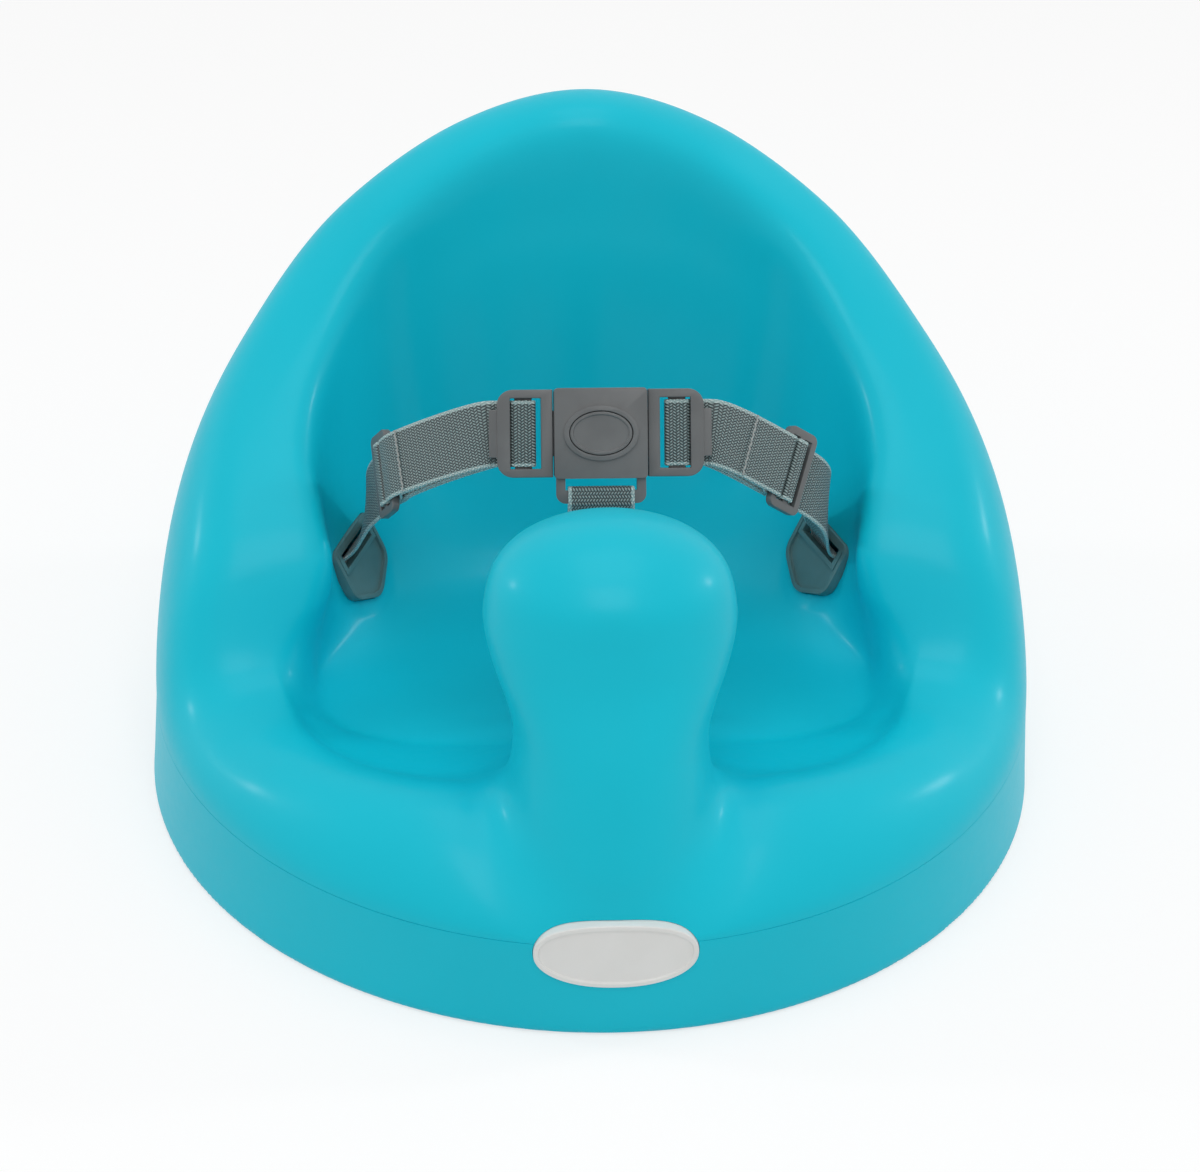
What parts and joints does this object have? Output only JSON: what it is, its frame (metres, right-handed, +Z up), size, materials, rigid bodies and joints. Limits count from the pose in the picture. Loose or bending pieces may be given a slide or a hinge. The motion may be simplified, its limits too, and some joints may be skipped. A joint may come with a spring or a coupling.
{
  "type": "baby floor seat",
  "caption": "Moulded foam floor seat for a baby, with a raised pommel between the leg openings, high wings and a three-point harness with a press-button buckle.",
  "frame": {"origin": "centre of the round base, on the floor", "axes": "+Z up; the seat faces -Y, with the backrest at +Y; +X to the right of the picture, the seated child's left"},
  "size_m": [0.355, 0.355, 0.237],
  "materials": {
    "foam": "self-skinned moulded polyurethane foam, satin, with fine pores",
    "hardware": "moulded acetal, satin",
    "anchor_plate": "moulded nylon, satin",
    "webbing": "woven polypropylene webbing with pale edges",
    "badge": "bare oval plate, satin",
    "steel": "plated steel"
  },
  "bodies": {
    "seat": {"foam_seat": "foam", "badge_plate": "badge", "anchor_plate_left": "anchor_plate", "anchor_plate_right": "anchor_plate", "anchor_plate_crotch": "anchor_plate", "retainer_rod_left": "steel", "retainer_rod_right": "steel", "retainer_rod_crotch": "steel", "waist_strap_left": "webbing", "waist_strap_right": "webbing", "crotch_strap": "webbing", "buckle_front": "hardware", "buckle_back": "hardware", "button_spring": "steel"},
    "button": {"buckle_button": "hardware"},
    "tongue_left": {"tongue_left": "hardware"},
    "tongue_right": {"tongue_right": "hardware"},
    "slider_left": {"slider_left": "hardware"},
    "slider_right": {"slider_right": "hardware"}
  },
  "joints": [
    {"name": "button_press", "type": "slide", "parent": "seat", "child": "button", "axis": [0, 0.866, -0.5], "range_m": [0, 0.0016], "stiffness_N_per_m": 1500, "springref_m": -0.0015, "deforming": ["button_spring"]},
    {"name": "tongue_left_pull", "type": "slide", "parent": "seat", "child": "tongue_left", "axis": [-1, 0, 0], "range_m": [0, 0.014], "deforming": ["waist_strap_left"]},
    {"name": "tongue_right_pull", "type": "slide", "parent": "seat", "child": "tongue_right", "axis": [1, 0, 0], "range_m": [0, 0.014], "deforming": ["waist_strap_right"]},
    {"name": "slider_left_slide", "type": "slide", "parent": "tongue_left", "child": "slider_left", "axis": [0.3505, -0.621, 0.7011], "range_m": [-0.005, 0.015], "deforming": ["waist_strap_left"]},
    {"name": "slider_right_slide", "type": "slide", "parent": "tongue_right", "child": "slider_right", "axis": [-0.7318, -0.3008, 0.6115], "range_m": [-0.005, 0.015], "deforming": ["waist_strap_right"]}
  ]
}
